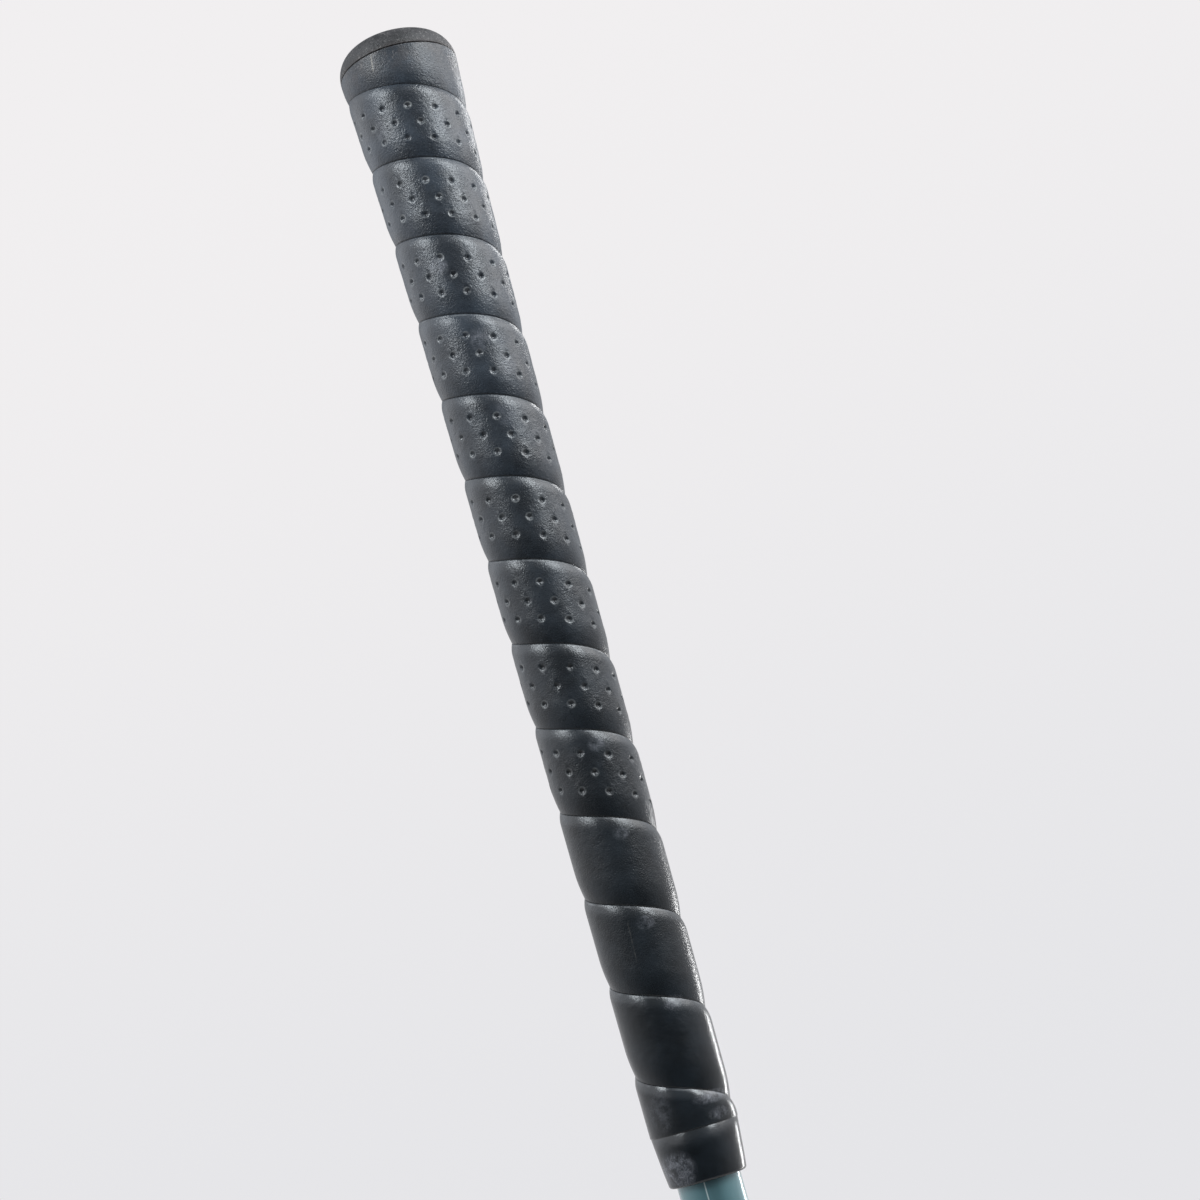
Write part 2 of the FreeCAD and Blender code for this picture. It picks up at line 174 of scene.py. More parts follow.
def row_slide(turn):
    """How much lower the rows lie: ROW_DROP (1 - S), S the smooth step over ROW_DROP_TURNS."""
    return ROW_DROP * (1 - smooth_step(*ROW_DROP_TURNS, turn))


def dimple_distance(count, turn, below):
    """Distance to the middle of the nearest dimple.

    Along the wrap it is the fraction of the count times the spacing, and each lower row is
    shifted on by a third of a spacing. The wrap's slope turns that into a distance round
    the grip and one down the grip, and d is the root of the sum of their squares.
    """
    nearest = np.full_like(below, DIMPLE_SPACING)
    for number, row in enumerate(DIMPLE_ROWS):
        along = count - number / len(DIMPLE_ROWS)
        along = (along - np.round(along)) * DIMPLE_SPACING
        down = below - row - row_slide(turn) + along * math.sin(ROW_SLOPE)
        nearest = np.minimum(nearest, np.hypot(along * math.cos(ROW_SLOPE), down))
    inside = (turn > DIMPLE_START) & (turn < DIMPLE_END)
    return np.where(inside, nearest, DIMPLE_SPACING)


def dimple_depth(distance):
    """A pit with a steep wall, DIMPLE_DEPTH (1 - S), inside a lip of LIP_HEIGHT.

    S is the smooth step from FLOOR_SHARE to 1 of d / DIMPLE_R. The lip falls from its ridge
    by a smooth step on either side.
    """
    pit = 1 - smooth_step(FLOOR_SHARE * DIMPLE_R, DIMPLE_R, distance)
    lip = 1 - smooth_step(0, LIP_HALF_WIDTH, np.abs(distance - LIP_R))
    return DIMPLE_DEPTH * pit - LIP_HEIGHT * lip


print("a dimple is", 2 * DIMPLE_R, "mm wide and", DIMPLE_DEPTH, "mm deep")

# %% [markdown]
# ## The wrap as one ribbon
#
# A grid of angles and heights would cross the slanting seams and dimples like a staircase.
# The wrap is laid out instead as a strip is wound on: one long ribbon, with rows along it
# and columns across it. Its columns stand on the dimples' middles and rims, and its rows
# lie closer together at the dimples and at both edges.

# %% Columns and rows of the ribbon
END_GAP = 0.004         # turns left off at either end, where the ribbon has no height
first_turn = (-FIRST_SEAM - START_DROP - PITCH - RIM_Z) / PITCH + END_GAP
last_turn = (-FIRST_SEAM - COLLAR_Z) / PITCH - END_GAP
first_count, last_count = np.interp((first_turn, last_turn), turn_axis, count_axis)
thirds = np.arange(math.floor(3 * first_count), math.ceil(3 * last_count))
across_dimple = np.array((-0.62, -0.3, 0, 0.3, 0.62, 1.04)) / DIMPLE_SPACING
columns = (thirds[:, None] / 3 + across_dimple[None, :]).ravel()
column_turn = np.interp(columns, count_axis, turn_axis)
plain_part = (column_turn < DIMPLE_START) | (column_turn > DIMPLE_END)
keep = ~plain_part | (np.arange(len(columns)) % 3 == 2)     # one in three will do there
keep &= (column_turn > first_turn) & (column_turn < last_turn)
columns, column_turn = columns[keep], column_turn[keep]

around_row = np.array((-0.95, -0.6, -0.3, 0, 0.3, 0.6, 0.95))
plain_rows = np.array(
    (0, 0.2, 0.5, 0.95, 1.6, 2.3, 3.1, 3.9, 7.5, 11.7, 15.6, 16.6, 17.5, 18.2, 18.8, 19.2, PITCH))
rows = np.sort(np.concatenate([plain_rows, *[row + around_row for row in DIMPLE_ROWS]]))
follows = ~np.isin(rows, plain_rows)        # rows of the grid that slide with the dimples
print("ribbon:", len(columns), "columns,", len(rows), "rows")


# %% Points of the ribbon
def round_the_axis(radius, turn, z):
    """Points in metres from radius, turns from -Y towards +X, and height."""
    angle = 2 * np.pi * turn
    return np.stack([radius * np.sin(angle), -radius * np.cos(angle), z], -1).reshape(-1, 3) * MM


seam_over = seam_height(column_turn)[None, :]
stretch = (seam_over - seam_height(column_turn + 1)[None, :]) / PITCH
high = np.maximum(0, (seam_over - RIM_Z) / stretch)
low = np.minimum(PITCH, (seam_over - COLLAR_Z) / stretch)
place = rows[:, None] + follows[:, None] * row_slide(column_turn)[None, :]
below = high + (low - high) * place / PITCH
spot = dimple_distance(columns[None, :], column_turn[None, :], below)
ribbon_z = seam_over - below * stretch
ribbon_r = crest_radius(ribbon_z) - relief(below, ribbon_z) - dimple_depth(spot)
ribbon = round_the_axis(ribbon_r, np.broadcast_to(column_turn, below.shape), ribbon_z)
print("ribbon: smallest and largest radius", round(ribbon_r.min(), 2), round(ribbon_r.max(), 2))

# %% [markdown]
# ## Collar, mouth and bore
#
# Below the wrap the sleeve ends in a plain collar with a rounded mouth. The collar and the
# whole bore are round, so they are one profile turned round the axis: down the collar, in
# at the mouth, up past the tape to the seat of the end cap's skirt, and out to the rim. The
# bore is hidden, but with it the sleeve is a real tube and its mesh can be closed.

# %% The turned profile
ROUND = 192             # columns round the axis
COLLAR_R = 9.45
COLLAR_SHAPE = ((0.15, -0.01), (0, 0.15), (0.35, 4), (0.68, 7.5))   # in, and down from its top
MOUTH_R = 8.45          # outside, above the mouth's rounding
MOUTH_ROUNDING = 0.75
BORE_GAP = 0.02         # round the shaft, below the tape
BORE_CHAMFER = 0.1
RIM_STEP = 0.1          # from the rim out to the skin
SHAFT_R = 6.9           # where the shaft leaves the grip
SHAFT_BUTT_R = 7.62
BUTT_Z = -4.5
TAPE = 0.2              # thickness of the grip tape
TAPE_END_Z = MOUTH_Z + 3.0
SKIRT_R = 11.0          # the end cap's skirt
SKIRT_Z = RIM_Z - 7.0


def taped_radius(z):
    """Radius over the tape, on the shaft's straight taper."""
    return SHAFT_R + (SHAFT_BUTT_R - SHAFT_R) * (z - MOUTH_Z) / (BUTT_Z - MOUTH_Z) + TAPE


corner = np.linspace(0, np.pi / 2, 9)
bore_r = SHAFT_R + BORE_GAP
profile = np.array(
    [(COLLAR_R - inward, COLLAR_Z - down) for inward, down in COLLAR_SHAPE]
    + [(MOUTH_R - MOUTH_ROUNDING * (1 - math.cos(a)), MOUTH_Z + MOUTH_ROUNDING * (1 - math.sin(a)))
       for a in corner]
    + [(bore_r + BORE_CHAMFER, MOUTH_Z), (bore_r, MOUTH_Z + BORE_CHAMFER), (bore_r, TAPE_END_Z),
       (taped_radius(TAPE_END_Z), TAPE_END_Z), (taped_radius(SKIRT_Z), SKIRT_Z),
       (SKIRT_R, SKIRT_Z), (SKIRT_R, RIM_Z), (crest_radius(RIM_Z) - RIM_STEP, RIM_Z)])
turned_shape = (len(profile), ROUND)
turned = round_the_axis(
    np.broadcast_to(profile[:, :1], turned_shape),
    np.broadcast_to(np.arange(ROUND) / ROUND, turned_shape),
    np.broadcast_to(profile[:, 1:], turned_shape))
print("turned part:", len(profile), "rings of", ROUND)

# %% [markdown]
# ## Sewing the skin shut
#
# Along the seam the ribbon meets its own next turn, but the columns of the two turns don't
# stand over each other. So the edges are kept as two chains of points and sewn with a strip
# of triangles: going round, each new point on one chain makes a triangle with the point
# before it and with the last point passed on the other chain. The same strip closes the
# skin to the bore at the rim and to the collar. The strips are shaded flat, so they don't
# soften the seam.


# %% Faces
def grid_faces(index):
    """Quads of a grid of point numbers, rows down and columns round, facing out."""
    corners = [index[:-1, :-1], index[1:, :-1], index[1:, 1:], index[:-1, 1:]]
    return np.stack(corners, -1).reshape(-1, 4)


def sewn(upper, upper_turn, lower, lower_turn):
    """Triangles from an upper chain of point numbers to a lower one, facing out.

    Both chains run the same way round, with their turns in rising order. The last point
    passed on the other chain is found by where a turn would be sorted in among its turns.
    """
    passed = np.searchsorted(lower_turn, upper_turn[1:], side="left") - 1
    hanging = np.stack([upper[1:], upper[:-1], lower[np.maximum(passed, 0)]], -1)
    passed = np.searchsorted(upper_turn, lower_turn[1:], side="right") - 1
    standing = np.stack([lower[:-1], lower[1:], upper[np.maximum(passed, 0)]], -1)
    return np.concatenate([hanging, standing])


def once_round(ring, start):
    """A ring's point numbers and their turns, once round from the first one past a turn."""
    step = math.ceil(start * ROUND) + np.arange(ROUND + 1)
    return ring[step % ROUND], step / ROUND


wrap = np.arange(below.size).reshape(below.shape)
rings = below.size + np.arange(profile.shape[0] * ROUND).reshape(turned_shape)
top, foot, start, end = wrap[0], wrap[-1], column_turn[0], column_turn[-1]
under = np.searchsorted(column_turn, start + 1, side="right") - 1   # first column under another
over = np.searchsorted(column_turn, end - 1)                # first column over the collar
quads = np.concatenate([grid_faces(wrap), grid_faces(np.hstack([rings, rings[:, :1]]))])
strips = np.concatenate([
    sewn(foot[:over + 1], column_turn[:over + 1], top[under:], column_turn[under:] - 1),
    sewn(*once_round(rings[-1], start),
         np.concatenate([top[:under + 1], wrap[::-1, 0]]),
         np.concatenate([column_turn[:under + 1], np.full(len(rows), start + 1)])),
    sewn(np.concatenate([foot[over:], wrap[-2::-1, -1], foot[over:over + 1]]),
         np.concatenate([column_turn[over:], np.full(len(rows) - 1, end),
                         column_turn[over:over + 1] + 1]),
         *once_round(rings[0], column_turn[over]))])

edges = np.concatenate(
    [np.stack([face, np.roll(face, -1, axis=1)], -1).reshape(-1, 2) for face in (quads, strips)])
used = np.unique(np.sort(edges, axis=1), axis=0, return_counts=True)[1]
print("sleeve:", len(quads), "quads,", len(strips), "triangles, open edges", np.sum(used != 2))

# %% [markdown]
# ## From arrays to a mesh
#
# A mesh with a hundred thousand points is filled from whole arrays, because a Python loop
# over them would take longer than the render. Two attributes go with the points, the
# distance below the seam and the distance to the nearest dimple, so that the rubber's
# finish can follow the relief.


# %% Mesh from quads and triangles
def mesh_object(name, points, quads, triangles, material, **values):
    """An object from arrays: smooth quads, flat triangles, and attributes of the points."""
    sizes = np.concatenate([np.full(len(quads), 4), np.full(len(triangles), 3)])
    starts = np.cumsum(sizes) - sizes
    mesh = bpy.data.meshes.new(name)
    mesh.vertices.add(len(points))
    mesh.vertices.foreach_set("co", points.astype(np.float32).ravel())
    mesh.loops.add(sizes.sum())
    mesh.loops.foreach_set(
        "vertex_index", np.concatenate([quads.ravel(), triangles.ravel()]).astype(np.int32))
    mesh.polygons.add(len(sizes))
    mesh.polygons.foreach_set("loop_start", starts.astype(np.int32))
    mesh.update(calc_edges=True)
    mesh.polygons.foreach_set("use_smooth", sizes == 4)
    for key, value in values.items():
        mesh.attributes.new(key, "FLOAT", "POINT").data.foreach_set(
            "value", value.astype(np.float32))
    mesh.materials.append(material)
    made = bpy.data.objects.new(name, mesh)
    bpy.context.collection.objects.link(made)
    print(name, "points", len(points), "triangles", 2 * len(quads) + len(triangles))
    return made


# %% [markdown]
# ## Shaders as formulas
#
# Every finish below is a formula of the place on the piece. Node by node that would be
# pages of links, so `Value` wraps a socket and lets it be added and multiplied like a
# number, and `Tree.node` makes every other node. Each operator comes with its reflected
# form, so that a plain number may stand on the left too, as in 1 - mask.


# %% A small language for shader nodes
class Tree:
    """A node tree whose nodes are made by one method."""

    def __init__(self, tree):
        self.tree = tree

    def node(self, kind, sockets=None, output=0, **settings):
        """A node with its settings, its sockets set or linked, and one output."""
        made = self.tree.nodes.new(kind)
        for key, item in settings.items():
            setattr(made, key, item)
        for key, item in (sockets or {}).items():
            if isinstance(item, Value):
                self.tree.links.new(item.socket, made.inputs[key])
            else:
                made.inputs[key].default_value = item
        return Value(self, made.outputs[output])


def operators(operation):
    """An operator of a Value, and its reflected form."""
    return (lambda value, other: value.math(operation, other),
            lambda value, other: value.math(operation, other, reflected=True))


class Value:
    """A node's output with arithmetic on it."""

    __add__, __radd__ = operators("ADD")
    __sub__, __rsub__ = operators("SUBTRACT")
    __mul__, __rmul__ = operators("MULTIPLY")
    __truediv__, __rtruediv__ = operators("DIVIDE")
    __pow__, __rpow__ = operators("POWER")

    def __init__(self, tree, socket):
        self.tree, self.socket = tree, socket

    def math(self, operation, other=0.0, reflected=False):
        """A Math node on this value and another, or a plain number; reflected swaps them."""
        first, second = (other, self) if reflected else (self, other)
        return self.tree.node("ShaderNodeMath", {0: first, 1: second}, operation=operation)

    def step(self, low, high, to_low=0.0, to_high=1.0):
        """Smooth change from one value to another between two limits."""
        return self.tree.node(
            "ShaderNodeMapRange",
            {"Value": self, "From Min": low, "From Max": high, "To Min": to_low,
             "To Max": to_high},
            "Result", interpolation_type="SMOOTHSTEP")


def rgb(*levels):
    """Linear colour from 0-255 display levels: ((c + 0.055) / 1.055)^2.4, or c / 12.92."""
    c = np.array(levels) / 255
    return (*np.where(c > 0.04045, ((c + 0.055) / 1.055) ** 2.4, c / 12.92), 1.0)


def near(value, middle, width):
    """1 at the middle and 0 one width away on either side, smooth between."""
    return 1.0 - (value - middle).math("ABSOLUTE").step(0.0, width)


print("display level 128 is", round(rgb(128)[0], 3), "in linear light")

# %% [markdown]
# ## A finish
#
# A pattern could be tied to a piece by unwrapping it, but grain and wear have no direction
# of their own, so the finishes read Object coordinates, which stay with the piece. They are
# turned into millimetres, because that is how one thinks of a grain or of a place on a
# grip. What is the same all over is set on the shader's own socket, and what varies is
# linked to it.


# %% Materials with a place in millimetres
class Finish(Tree):
    """A Principled material and helpers that read the place on the piece."""

    def __init__(self, name, **constants):
        self.material = bpy.data.materials.new(name)
        self.material.use_nodes = True
        super().__init__(self.material.node_tree)
        self.surface = self.tree.nodes["Principled BSDF"]
        for key, item in constants.items():
            self.surface.inputs[key.replace("_", " ")].default_value = item
        metres = self.node("ShaderNodeTexCoord", output="Object")
        self.place = self.vector("SCALE", {0: metres, "Scale": 1 / MM})
        self.x, self.y, self.z = (
            self.node("ShaderNodeSeparateXYZ", {0: self.place}, axis) for axis in "XYZ")

    def vector(self, operation, sockets):
        """A Vector Math node."""
        return self.node("ShaderNodeVectorMath", sockets, operation=operation)

    def attribute(self, name):
        """A float attribute of the mesh."""
        return self.node("ShaderNodeAttribute", output="Fac", attribute_name=name)

    def noise(self, scale, detail, roughness, stretch=(1.0, 1.0, 1.0)):
        """Noise of a scale in waves a millimetre, as a value round 0.5."""
        place = self.vector("MULTIPLY", {0: self.place, 1: stretch})
        return self.node("ShaderNodeTexNoise", {
            "Vector": place, "Scale": scale, "Detail": detail, "Roughness": roughness})

    def mix(self, share, first, second):
        """A colour between two."""
        return self.node("ShaderNodeMix", {0: share, 6: first, 7: second}, 2, data_type="RGBA")

    def finished(self, bump, **sockets):
        """The material, with a bump height in millimetres and values in its sockets."""
        sockets["Normal"] = self.node(
            "ShaderNodeBump", {"Height": bump, "Distance": MM, "Strength": 1.0}, "Normal")
        for key, item in sockets.items():
            self.tree.links.new(item.socket, self.surface.inputs[key.replace("_", " ")])
        print("finish:", self.material.name, "with", len(self.tree.nodes), "nodes")
        return self.material


# %% [markdown]
# ## The sleeve's rubber
#
# Used grip rubber is near black, satin, and full of small signs of use. Its upper half is
# painted greyer, as painted light for the better lit top of the grip. The dimples' lips and
# the edges under the seams are painted pale, dust and a painted highlight together; the pits
# low on the grip and the foot of each band are painted dark as painted shade. Dust sits under
# the lid, and some places are rubbed cloudy, with a few painted highlights among them. A
# picture of it could not follow the relief, so each sign is a mask: noise for what is spread
# evenly, the mesh's attributes for what follows dimples and seams, and soft ellipses for
# single worn places and painted highlights. Each function lays one sign over the colour so
# far.

# %% Rubber with dust, painted highlights and painted shade on its relief
DUST = rgb(124, 120, 118)


def rubber_with_painted_light(s, height, mottle):
    """Mottled black between a dark and a light tint, both greyer with the height as painted light.
    """
    # Greyer upward: painted light, for the better lit upper grip.
    dark = s.mix(height, rgb(14, 18, 21), rgb(29, 34, 40))
    light = s.mix(height, rgb(25, 31, 36), rgb(49, 57, 66))
    return s.mix(mottle.step(0.3, 0.75), dark, light)


def dimple_dust_and_painted_light(s, colour, height, patchy):
    """Pale lips of dust and painted highlight, pits painted dark low on the grip as painted shade,
    and dusty pits high on it.
    """
    spot = s.attribute("spot")
    lip = near(spot, 0.86, LIP_HALF_WIDTH) * patchy
    pit = 1.0 - spot.step(0.25, 0.75)
    # Pale lips: dust and a painted highlight, stronger higher up.
    colour = s.mix(lip * (height * 0.3 + 0.3), colour, rgb(132, 134, 134))
    # Painted shade in the pits, low on the grip.
    colour = s.mix(pit * (1.0 - height) * 0.4, colour, rgb(12, 13, 14))
    return s.mix(pit * height * patchy * 0.6, colour, rgb(104, 106, 108))


def seam_highlights_and_painted_shade(s, colour):
    """A pale line under each seam but the first, painted highlight and dust, and painted shade
    just above the next seam.
    """
    below = s.attribute("below")
    # A painted highlight along the lip under each seam, broken up by noise as dust.
    dust_and_painted_highlight = near(below, 0.35, 0.35) * s.noise(0.25, 3.0, 0.6).step(0.4, 0.7)
    colour = s.mix(dust_and_painted_highlight * s.z.step(-32.0, -15.0, 0.5, 0.0), colour, rgb(120, 122, 124))
    # Painted shade over the last 0.6 mm above the next seam.
    return s.mix(below.step(PITCH - 0.6, PITCH, 0.0, 0.6), colour, rgb(9, 9, 10))


def specks(s):
    """Single pale specks of dust: the tops of a fine noise."""
    return s.noise(1.7, 2.0, 0.5).step(0.62, 0.7)


def dust_under_lid(s, colour, patchy):
    """Grey patches and pale specks that grow towards the lid."""
    under_lid = s.z.step(RIM_Z - 9.0, RIM_Z - 1.0)
    colour = s.mix(under_lid * patchy * 0.7, colour, rgb(52, 50, 51))
    return s.mix(under_lid * specks(s) * 0.4, colour, DUST)


# %% Worn places and painted highlights
# Scuffs and painted highlights on the player's side (the highlights at z -24, -173.6, -193.3
# and -212.8): x and z of the middle, half width, half height, strength
SCUFFS_AND_HIGHLIGHTS = (
    (-7.6, -24.0, 1.6, 3.6, 0.6), (-3.3, -59.8, 2.6, 2.6, 1.0), (1.4, -79.0, 3.0, 3.4, 0.7),
    (5.6, -85.9, 2.4, 3.2, 0.5), (2.6, -97.0, 3.0, 4.0, 0.3), (1.9, -173.6, 2.2, 2.0, 0.6),
    (1.9, -193.3, 2.2, 1.8, 0.6), (1.8, -212.8, 2.4, 1.8, 0.6), (3.0, -230.4, 2.8, 2.0, 0.5),
    (5.2, -250.8, 4.6, 1.6, 0.7), (6.0, -254.4, 3.0, 1.6, 0.5), (-6.0, -251.0, 3.0, 5.0, 0.3),
    (-5.6, -263.4, 4.4, 4.4, 1.0))


def scuffs_and_painted_highlights(s):
    """The scuffs and painted highlights: a smooth step from each one's middle to its edge, broken
    up by noise.

    The edge is where ((x - x0) / wide)^2 + ((z - z0) / tall)^2 = 1.
    """
    wear_and_painted_highlight = s.z * 0
    for x, z, wide, tall, strength in SCUFFS_AND_HIGHLIGHTS:
        away = ((s.x - x) / wide) ** 2.0 + ((s.z - z) / tall) ** 2.0
        wear_and_painted_highlight = wear_and_painted_highlight.math("MAXIMUM", away.step(0.0, 1.0, strength, 0.0))
    return wear_and_painted_highlight * s.noise(0.55, 4.0, 0.7).step(0.32, 0.72)


def cuts(s, colour, patchy, front):
    """A nick under the lid and a scratch: lines on which x less a part of z stays the same."""
    nick = near(s.x - s.z * 0.12, -4.4, 0.26) * near(s.z, -8.2, 2.4).step(0.0, 0.25)
    scratch = near(s.x - s.z * 0.04, 6.6, 0.2) * near(s.z, -216.0, 6.0) * patchy
    cut = (nick * 0.5).math("MAXIMUM", scratch * 0.2) * front
    return s.mix(cut, colour, rgb(166, 160, 150))


print("scuffs:", len(SCUFFS_AND_HIGHLIGHTS))


# %% Rubber of the sleeve
def rubber():
    """Satin black rubber: mottled and grained, with dust, scuffs, a nick and a scratch, and
    painted highlights and shade.
    """
    s = Finish("grip rubber", Specular_IOR_Level=0.5)
    height = s.z.step(-210.0, -10.0)
    front = s.y.step(-2.0, 0.0, 1.0, 0.0)       # 1 on the player's side
    mottle, grain = s.noise(0.12, 4.0, 0.6), s.noise(3.2, 2.0, 0.5)
    patchy = s.noise(0.35, 3.0, 0.6).step(0.35, 0.65)
    wear_and_painted_highlight = scuffs_and_painted_highlights(s) * (grain.step(0.35, 0.65) * 0.5 + 0.5) * front
    colour = rubber_with_painted_light(s, height, mottle)
    colour = dimple_dust_and_painted_light(s, colour, height, patchy)
    colour = seam_highlights_and_painted_shade(s, colour)
    colour = dust_under_lid(s, colour, patchy)
    # Pale bluish marks: scuffs, and painted highlights.
    colour = s.mix(wear_and_painted_highlight * 0.5, colour, rgb(158, 160, 168))
    colour = cuts(s, colour, patchy, front)
    dry = s.z.step(-16.0, -11.0, 0.0, 0.12) + wear_and_painted_highlight * 0.1
    worn_smooth = s.z.step(-200.0, -250.0)
    fine = (grain - 0.5) * (1.0 - worn_smooth * 0.7)
    pebbles = s.noise(1.9, 2.0, 0.6) * height
    return s.finished(fine * 0.06 + pebbles * 0.07 + s.noise(0.5, 3.0, 0.5) * 0.08,
                      Base_Color=colour,
                      Roughness=fine * 0.2 + (mottle - 0.5) * 0.14 + dry
                      + (0.3 - worn_smooth * 0.07))


# %% The sleeve in its place
sleeve = mesh_object(
    "moulded_grip", np.concatenate([ribbon, turned]), quads, strips, rubber(),
    below=np.concatenate([below.ravel(), np.full(len(turned), PITCH / 2)]),
    spot=np.concatenate([spot.ravel(), np.full(len(turned), DIMPLE_SPACING)]))
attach(sleeve, "root")
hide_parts("grip_sleeve")

# %% [markdown]
# ## The lid's rubber
#
# The end cap is a harder, drier rubber than the sleeve. It is matte, browner at its foot,
# and holds pale specks. Fine noise in colour, roughness and bump does that. The cap and all
# that follows keep the CAD part's own mesh, and only its material is exchanged.


# %% Rubber of the lid
def dress(node, material):
    """Put a finish on a CAD node in place of its plain one."""
    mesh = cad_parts[node].data
    mesh.materials.clear()
    mesh.materials.append(material)


def cap_rubber():
    """Dusty matte rubber with pale specks, and a brown tint at its foot."""
    s = Finish("cap rubber", Specular_IOR_Level=0.4)
    dust_and_painted_highlight = s.noise(0.35, 5.0, 0.65).step(0.3, 0.75)
    colour = s.mix(dust_and_painted_highlight, rgb(24, 24, 25), rgb(56, 54, 55))
    colour = s.mix(s.z.step(RIM_Z, RIM_Z + 1.6, 0.5, 0.0), colour, rgb(44, 36, 32))
    colour = s.mix(specks(s) * 0.5, colour, DUST)
    return s.finished(s.noise(1.4, 4.0, 0.6) * 0.15 + dust_and_painted_highlight * 0.05,
                      Base_Color=colour, Roughness=dust_and_painted_highlight * 0.2 + 0.46)


dress("grip_cap", cap_rubber())

# %% [markdown]
# ## The shaft's paint
#
# The shaft is painted teal under clear lacquer, over wound graphite whose fibres show as
# faint long streaks, and a darker band down its middle is painted shade. One thin pale line
# runs down the player's side. The line follows the direction from the axis, x over the
# radius, so it keeps its place as the shaft tapers.


# %% Paint of the shaft
def shaft_paint():
    """Glossy teal paint with long streaks, a band of painted shade and one thin pale line, under a
    clear coat.
    """
    s = Finish("shaft paint", Coat_Roughness=0.06, Metallic=0.25)
    across = s.x / (s.x ** 2.0 + s.y ** 2.0) ** 0.5
    front = s.y.step(-0.5, 0.5, 1.0, 0.0)
    weave = s.noise(0.5, 3.0, 0.6, stretch=(1.0, 1.0, 0.15))
    colour = s.mix(weave, rgb(72, 104, 110), rgb(98, 132, 137))
    # Painted shade: a darker band down the middle of the shaft.
    colour = s.mix(near(across, 0.05, 0.5) * 0.5, colour, rgb(44, 70, 76))
    colour = s.mix(near(across, -0.16, 0.03) * front * 0.8, colour, rgb(196, 208, 206))
    return s.finished(weave * 0.01, Base_Color=colour, Roughness=weave * 0.1 + 0.2,
                      Coat_Weight=weave * 0.3 + 0.7)


dress("shaft", shaft_paint())

# %% [markdown]
# ## Metals
#
# The head is brushed steel, the plate in its cavity brushed aluminium, and the trim ring and
# the brass weight are turned on a lathe. They differ only in colour and in the direction of
# their fine lines, so one function stretches a noise along the tool's path.

# %% Brushed and turned metal
TURNED = (0.05, 0.05, 2.0)          # stretch of the noise for lines round the axis
BRUSHED_HEAD = (1.0, 0.12, 0.12)
BRUSHED_PLATE = (0.12, 1.0, 0.12)


def metal(name, dark, light, rough, stretch):
    """Brushed metal: a noise drawn out along the brushing, with wide faint stains."""
    s = Finish(name, Metallic=1.0)
    brushed = s.noise(2.0, 4.0, 0.6, stretch=stretch)
    stains = s.noise(0.08, 4.0, 0.6).step(0.35, 0.8)
    colour = s.mix(brushed, rgb(*dark), rgb(*light))
    colour = s.mix(stains * 0.25, colour, rgb(*dark))
    return s.finished(brushed * 0.01, Base_Color=colour,
                      Roughness=brushed * 0.16 + stains * 0.05 + rough)


dress("ferrule_ring", metal("turned ring", (168, 168, 166), (206, 206, 204), 0.18, TURNED))
dress("tip_weight", metal("turned brass", (176, 138, 70), (214, 178, 104), 0.22, TURNED))
dress("head", metal("satin steel", (126, 128, 131), (168, 170, 172), 0.24, BRUSHED_HEAD))
dress("cavity_badge", metal("badge plate", (92, 96, 102), (124, 128, 134), 0.3, BRUSHED_PLATE))

# %% [markdown]
# ## Paper, resin, foam and plastic
#
# Tape, epoxy and adhesive foam are matte and mottled, and share a function. The tape's grain
# is drawn out round the shaft, as its crepe is. The ferrule is polished plastic with the
# faint rings that turning leaves.


# %% Matte finishes and the ferrule
def matte(name, dark, light, rough, stretch=(1.0, 1.0, 1.0)):
    """A matte finish with mottled colour and a fine grain, which may be drawn out."""
    s = Finish(name)
    grain = s.noise(0.8, 4.0, 0.6, stretch=stretch)
    return s.finished(grain * 0.05, Base_Color=s.mix(grain, rgb(*dark), rgb(*light)),
                      Roughness=grain * 0.15 + rough)


def ferrule_plastic():
    """Polished black plastic with faint turning lines."""
    s = Finish("ferrule plastic", Coat_Weight=0.5)
    lines = s.noise(3.0, 2.0, 0.5, stretch=(0.02, 0.02, 1.0))
    return s.finished(lines * 0.01, Base_Color=s.mix(lines, rgb(18, 18, 20), rgb(32, 32, 35)),
                      Roughness=lines * 0.14 + 0.16)


dress("grip_tape", matte("crepe tape", (214, 205, 180), (236, 230, 210), 0.8, (0.4, 0.4, 4.0)))
dress("hosel_epoxy", matte("cured epoxy", (150, 138, 92), (176, 164, 112), 0.35))
dress("badge_adhesive", matte("adhesive pad", (206, 204, 198), (226, 224, 220), 0.7))
dress("ferrule", ferrule_plastic())

# %% [markdown]
# ## The floor
#
# The club stands on a pale floor, a disc that fades out towards its rim so that no edge
# shows against the backdrop from any side. It keeps the club's shadow.

# %% Floor
FLOOR_R = 1700.0
FLOOR_SIDES = 96
FLOOR_FADE = (450.0, 1600.0)    # distances between which it fades out
SOLE_GAP = 1.0
FLOOR_Z = loaded_low.z / MM - SOLE_GAP


def floor_finish():
    """Pale matte paint that fades out towards the rim."""
    s = Finish("floor paint")
    grain = s.noise(0.3, 3.0, 0.6)
    from_middle = (s.x ** 2.0 + s.y ** 2.0) ** 0.5
    return s.finished(grain * 0.01, Roughness=grain * 0.05 + 0.87,
                      Base_Color=s.mix(grain, rgb(192, 190, 187), rgb(198, 196, 193)),
                      Alpha=1.0 - from_middle.step(*FLOOR_FADE))


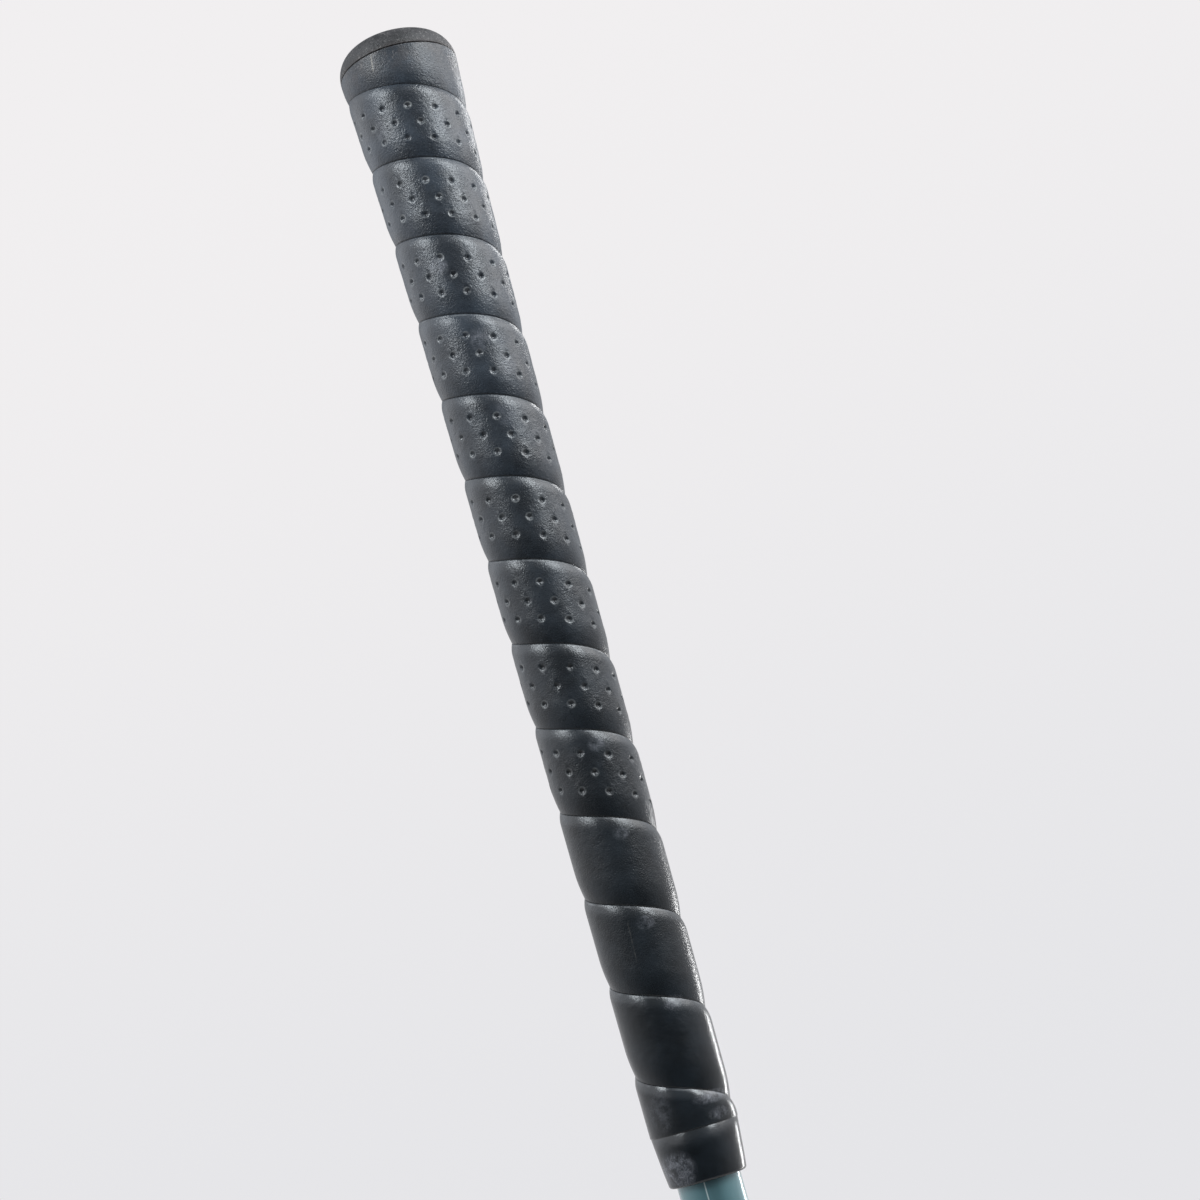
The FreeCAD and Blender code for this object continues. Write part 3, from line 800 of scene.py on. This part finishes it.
rim = np.arange(FLOOR_SIDES)
middle = np.full(FLOOR_SIDES, FLOOR_SIDES)      # the number of the last point
floor = mesh_object(
    "floor",
    round_the_axis(np.append(np.full(FLOOR_SIDES, FLOOR_R), 0),
                   np.append(rim / FLOOR_SIDES, 0), np.full(FLOOR_SIDES + 1, FLOOR_Z)),
    np.zeros((0, 4), int), np.stack([middle, rim, (rim + 1) % FLOOR_SIDES], -1),
    floor_finish())

# %% [markdown]
# ## The room
#
# The camera sees a pale wall, a little darker towards its foot. Rubber as dark as this
# shows mostly what it reflects, so the room in front of the club is dark, and brighter at
# the sides and towards the ceiling. Behind the club is the wall, and glossy and see-through
# surfaces show it there as the camera sees it.

# %% World
world = bpy.data.worlds.new("studio")
bpy.context.scene.world = world
world.use_nodes = True
sky = Tree(world.node_tree)


def glow(levels, strength=1.0):
    """A plain background of the world, from display levels."""
    return sky.node("ShaderNodeBackground", {"Color": rgb(*levels), "Strength": strength})


def blend(share, first, second):
    """A mix of two backgrounds by a Value."""
    return sky.node("ShaderNodeMixShader", {0: share, 1: first, 2: second})


direction = sky.node("ShaderNodeTexCoord", output="Generated")
across, back, up = (sky.node("ShaderNodeSeparateXYZ", {0: direction}, axis) for axis in "XYZ")
camera_ray, glossy_ray, through_ray = (
    sky.node("ShaderNodeLightPath", output=f"Is {kind} Ray")
    for kind in ("Camera", "Glossy", "Transmission"))
wall = blend(up.step(-0.12, 0.5), glow((229, 229, 232)), glow((241, 239, 240)))
behind = blend(glossy_ray.math("MAXIMUM", through_ray), glow((237, 240, 243), 1.1), wall)
before = blend(up.step(-0.25, 0.0), glow((228, 236, 248), 0.05), glow((228, 236, 248), 0.14))
level = blend(back.step(-1.0, 0.4), before, behind)
sides = across.math("ABSOLUTE").step(0.35, 0.8)
ceiling = blend(sides, glow((234, 240, 248), 0.5), glow((237, 240, 246), 2.0))
room = blend(up.step(-0.02, 0.42), level, ceiling)
seen = blend(camera_ray, room, wall)
sky.tree.links.new(seen.socket, sky.tree.nodes["World Output"].inputs["Surface"])
print("world:", len(sky.tree.nodes), "nodes")

# %% [markdown]
# ## The lamps
#
# Two tall windows on the left and right give each band its pair of highlights, with a panel
# that lights the right side and a weak lamp in front. Two strips behind the club draw the
# thin bright line down its right edge.

# %% Lamps
AIM = (0, 0, -0.12)
DAYLIGHT = (0.90, 0.96, 1.0)
WHITE = (1, 1, 1)
LAMPS = (       # name, direction, target, distance, size, power in watts, colour
    ("left window", (-0.57, -0.51, 0.64), AIM, 0.9, (0.26, 0.42), 5, DAYLIGHT),
    ("right window", (0.62, -0.47, 0.58), AIM, 0.9, (0.26, 0.54), 6.5, DAYLIGHT),
    ("right panel", (0.86, -0.02, 0.50), AIM, 0.9, (0.5, 0.5), 2.5, WHITE),
    ("front lamp", (0.20, -0.65, 0.73), AIM, 1.3, (0.2, 0.2), 0.5, WHITE),
    ("low strip", (0.70, 0.71, 0), (0, 0, -0.42), 0.9, (0.07, 0.48), 2.7, WHITE),
    ("high strip", (0.59, 0.80, 0), (0, 0, 0.45), 0.9, (0.12, 0.34), 1.2, WHITE))
for name, towards, target, distance, size, power, colour in LAMPS:
    data = bpy.data.lights.new(name, "AREA")
    data.shape = "RECTANGLE"
    data.size, data.size_y = size
    data.energy, data.color = power, colour
    lamp = bpy.data.objects.new(name, data)
    away = Vector(towards).normalized()
    lamp.location = Vector(target) + away * distance
    lamp.rotation_euler = away.to_track_quat("Z", "Y").to_euler()
    bpy.context.collection.objects.link(lamp)
print("lamps:", len(LAMPS))

# %% [markdown]
# ## The camera
#
# The photo looks a little up at the grip, from the height of its lower end, and it is
# tipped, so that the upright club leans in the picture. The place and the three angles come
# from fitting the grip's outline and seams. An unturned camera looks straight down, so it
# is rolled about its own line of sight first, then raised past level by the tilt, and last
# turned about the upright axis.

# %% Camera
CAMERA_PLACE = Vector((0, -456.34, -239.34)) * MM
ROLL_ANGLE = math.radians(-15.934)
TILT_ANGLE = math.radians(12.129)       # above level
TURN_ANGLE = math.radians(-1.436)
camera_data = bpy.data.cameras.new("camera")
camera_data.lens = 63
camera_data.sensor_width = 36
camera_data.clip_start = 0.01
camera_data.clip_end = 50
camera = bpy.data.objects.new("camera", camera_data)
bpy.context.collection.objects.link(camera)
camera.matrix_world = (
    Matrix.Translation(CAMERA_PLACE) @ Matrix.Rotation(TURN_ANGLE, 4, "Z")
    @ Matrix.Rotation(math.pi / 2 + TILT_ANGLE, 4, "X") @ Matrix.Rotation(ROLL_ANGLE, 4, "Z"))
bpy.context.scene.camera = camera
bpy.context.scene.view_settings.view_transform = "Standard"
print("camera:", [round(v, 3) for v in camera.location])

# %% [markdown]
# ## The end
#
# The scene's view layer is brought up to date.

# %% The end
bpy.context.view_layer.update()
